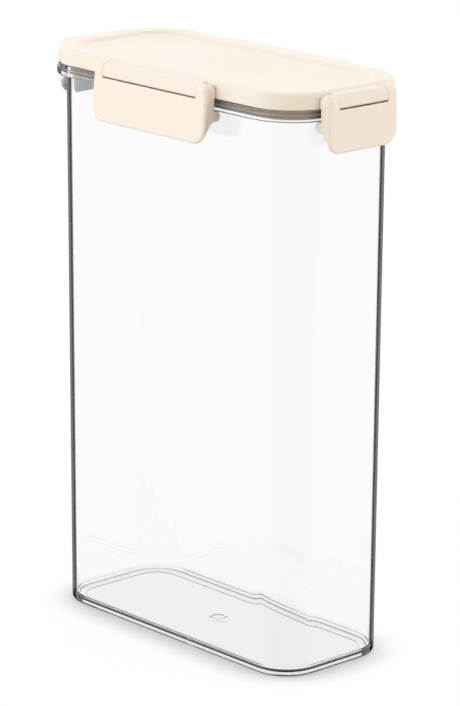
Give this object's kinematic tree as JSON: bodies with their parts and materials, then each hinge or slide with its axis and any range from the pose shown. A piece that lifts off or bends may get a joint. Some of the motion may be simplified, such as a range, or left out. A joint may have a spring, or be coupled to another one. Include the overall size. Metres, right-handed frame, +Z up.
{
  "type": "cereal container with latching lid",
  "caption": "Tall clear rectangular dry-food canister with a cream plug lid, sealing gasket and hinged snap latches on every side.",
  "frame": {"origin": "centre of the base, on the surface that the container stands on", "axes": "+Z up, +X along the long side, -Y out of the front"},
  "size_m": [0.2046, 0.1028, 0.2968],
  "materials": {
    "clear_plastic": "clear, polished",
    "cream_plastic": "satin, moulded",
    "latch_plastic": "satin, moulded",
    "silicone": "satin, translucent white"
  },
  "bodies": {
    "tub": {"tub": "clear_plastic"},
    "lid": {"lid": "cream_plastic", "lid_gasket": "silicone"},
    "latch_front": {"latch_front": "latch_plastic"},
    "latch_back": {"latch_back": "latch_plastic"},
    "latch_left": {"latch_left": "latch_plastic"},
    "latch_right": {"latch_right": "latch_plastic"}
  },
  "joints": [
    {"name": "lid_lift", "type": "slide", "parent": "tub", "child": "lid", "axis": [0, 0, 1], "range_m": [0, 0.01]},
    {"name": "latch_front_hinge", "type": "hinge", "parent": "lid", "child": "latch_front", "pos_m": [0, -0.0461, 0.2925], "axis": [-1, 0, 0], "range_deg": [0, 120]},
    {"name": "latch_back_hinge", "type": "hinge", "parent": "lid", "child": "latch_back", "pos_m": [0, 0.0461, 0.2925], "axis": [1, 0, 0], "range_deg": [0, 120]},
    {"name": "latch_left_hinge", "type": "hinge", "parent": "lid", "child": "latch_left", "pos_m": [-0.0971, 0, 0.2925], "axis": [0, 1, 0], "range_deg": [0, 120]},
    {"name": "latch_right_hinge", "type": "hinge", "parent": "lid", "child": "latch_right", "pos_m": [0.0971, 0, 0.2925], "axis": [0, -1, 0], "range_deg": [0, 120]}
  ],
  "couplings": [
    {"joint": "latch_front_hinge", "follows": "lid_lift", "rad_per_m": 209.4},
    {"joint": "latch_back_hinge", "follows": "lid_lift", "rad_per_m": 209.4},
    {"joint": "latch_left_hinge", "follows": "lid_lift", "rad_per_m": 209.4},
    {"joint": "latch_right_hinge", "follows": "lid_lift", "rad_per_m": 209.4}
  ]
}
